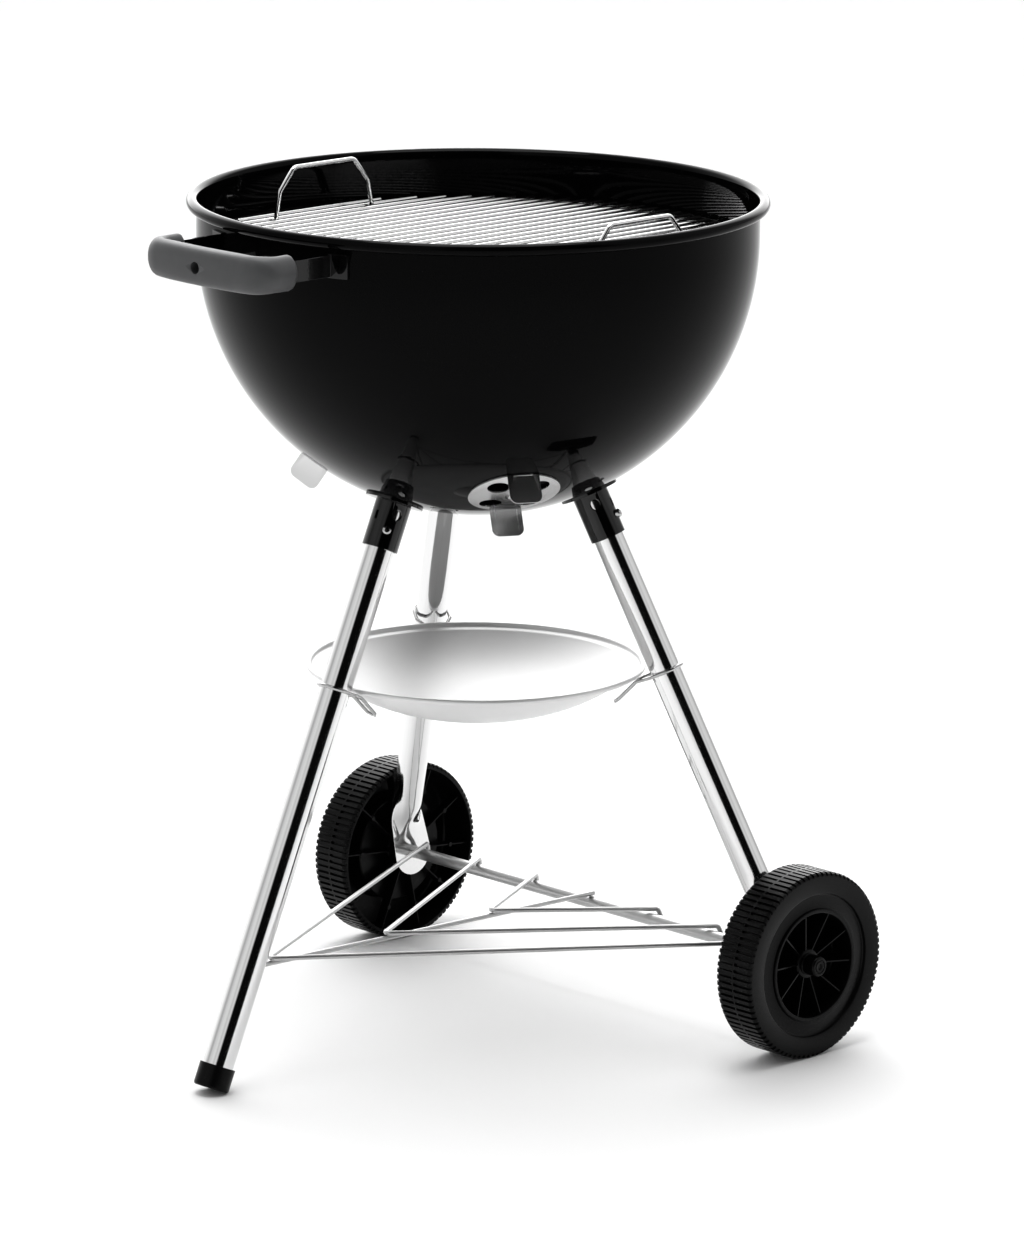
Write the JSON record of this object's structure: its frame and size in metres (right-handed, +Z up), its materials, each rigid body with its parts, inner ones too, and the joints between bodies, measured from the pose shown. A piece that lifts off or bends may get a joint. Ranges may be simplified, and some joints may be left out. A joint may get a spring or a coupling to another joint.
{
  "type": "kettle charcoal grill",
  "caption": "Kettle charcoal grill with an open round bowl, lift-out grates, turning air dampers, ash pan, wire rack, splayed tube legs and wheels.",
  "frame": {"origin": "on the floor under the middle of the whole grill's box; the bowl's axis is at y = +34.1 mm", "axes": "+Z up; the grip and the plain leg are at -Y; the axle lies along X with the wheels towards +Y"},
  "size_m": [0.5316, 0.5382, 0.6984],
  "materials": {
    "black_enamel": "gloss",
    "grey_nylon": "satin",
    "zinc_steel": "satin",
    "satin_aluminium": "satin",
    "polished_aluminium": "polished",
    "black_plastic": "satin",
    "spring_steel": "satin",
    "bright_steel": "polished",
    "plated_rod": "bright",
    "dark_steel_rod": "satin",
    "grey_wire": "satin"
  },
  "bodies": {
    "grill": {"bowl": "black_enamel", "cooking_grate_brackets": "black_enamel", "charcoal_grate_brackets": "black_enamel", "handle_bracket": "black_enamel", "handle_grip": "grey_nylon", "handle_screw": "zinc_steel", "damper_rivets": "satin_aluminium", "front_leg": "polished_aluminium", "right_leg": "polished_aluminium", "left_leg": "polished_aluminium", "leg_end_cap": "black_plastic", "front_leg_socket": "black_enamel", "right_leg_socket": "black_enamel", "left_leg_socket": "black_enamel", "front_snap_spring": "spring_steel", "right_snap_spring": "spring_steel", "left_snap_spring": "spring_steel", "axle": "zinc_steel", "axle_tube": "grey_wire", "axle_washers": "zinc_steel", "right_axle_cap": "zinc_steel", "left_axle_cap": "zinc_steel", "rack_middle_rod": "grey_wire", "rack_wire_outer": "grey_wire", "rack_wire_middle": "grey_wire", "rack_wire_inner": "grey_wire", "ash_pan": "satin_aluminium", "pan_clip_front": "bright_steel", "pan_clip_right": "bright_steel", "pan_clip_left": "bright_steel"},
    "front_right_damper": {"damper_front_right": "satin_aluminium"},
    "rear_damper": {"damper_rear": "satin_aluminium"},
    "front_left_damper": {"damper_front_left": "satin_aluminium"},
    "right_rolling_wheel": {"right_wheel": "black_plastic"},
    "left_rolling_wheel": {"left_wheel": "black_plastic"},
    "front_button": {"front_snap_button": "bright_steel"},
    "right_button": {"right_snap_button": "bright_steel"},
    "left_button": {"left_snap_button": "bright_steel"},
    "cooking_grate": {"cooking_grate_rods": "plated_rod", "cooking_grate_ring": "plated_rod", "cooking_grate_cross_rods": "plated_rod", "cooking_grate_handle_right": "plated_rod", "cooking_grate_handle_left": "plated_rod"},
    "charcoal_grate": {"charcoal_grate_rods": "dark_steel_rod", "charcoal_grate_cross_rods": "dark_steel_rod"}
  },
  "joints": [
    {"name": "damper_front_right_turn", "type": "hinge", "parent": "grill", "child": "front_right_damper", "pos_m": [0.10973, -0.02925, 0.47365], "axis": [0.4834, -0.2791, -0.8297], "continuous": true},
    {"name": "damper_rear_turn", "type": "hinge", "parent": "grill", "child": "rear_damper", "pos_m": [0, 0.1608, 0.47365], "axis": [0, 0.5582, -0.8297], "continuous": true},
    {"name": "damper_front_left_turn", "type": "hinge", "parent": "grill", "child": "front_left_damper", "pos_m": [-0.10973, -0.02925, 0.47365], "axis": [-0.4834, -0.2791, -0.8297], "continuous": true},
    {"name": "right_wheel_spin", "type": "hinge", "parent": "grill", "child": "right_rolling_wheel", "pos_m": [0.2414, 0.1687, 0.0774], "axis": [1, 0, 0], "continuous": true},
    {"name": "left_wheel_spin", "type": "hinge", "parent": "grill", "child": "left_rolling_wheel", "pos_m": [-0.2414, 0.1687, 0.0774], "axis": [1, 0, 0], "continuous": true},
    {"name": "front_button_press", "type": "slide", "parent": "grill", "child": "front_button", "axis": [0.766, -0.5881, 0.2594], "range_m": [-0.0056, 0], "stiffness_N_per_m": 500, "springref_m": 0.004},
    {"name": "right_button_press", "type": "slide", "parent": "grill", "child": "right_button", "axis": [0.7874, 0.4546, 0.4163], "range_m": [-0.0056, 0], "stiffness_N_per_m": 500, "springref_m": 0.004},
    {"name": "left_button_press", "type": "slide", "parent": "grill", "child": "left_button", "axis": [-0.7874, 0.4546, 0.4163], "range_m": [-0.0056, 0], "stiffness_N_per_m": 500, "springref_m": 0.004},
    {"name": "cooking_grate_lift", "type": "slide", "parent": "grill", "child": "cooking_grate", "axis": [0, 0, 1], "range_m": [0, 0.15]},
    {"name": "charcoal_grate_lift", "type": "slide", "parent": "grill", "child": "charcoal_grate", "axis": [0, 0, 1], "range_m": [0, 0.1]}
  ]
}
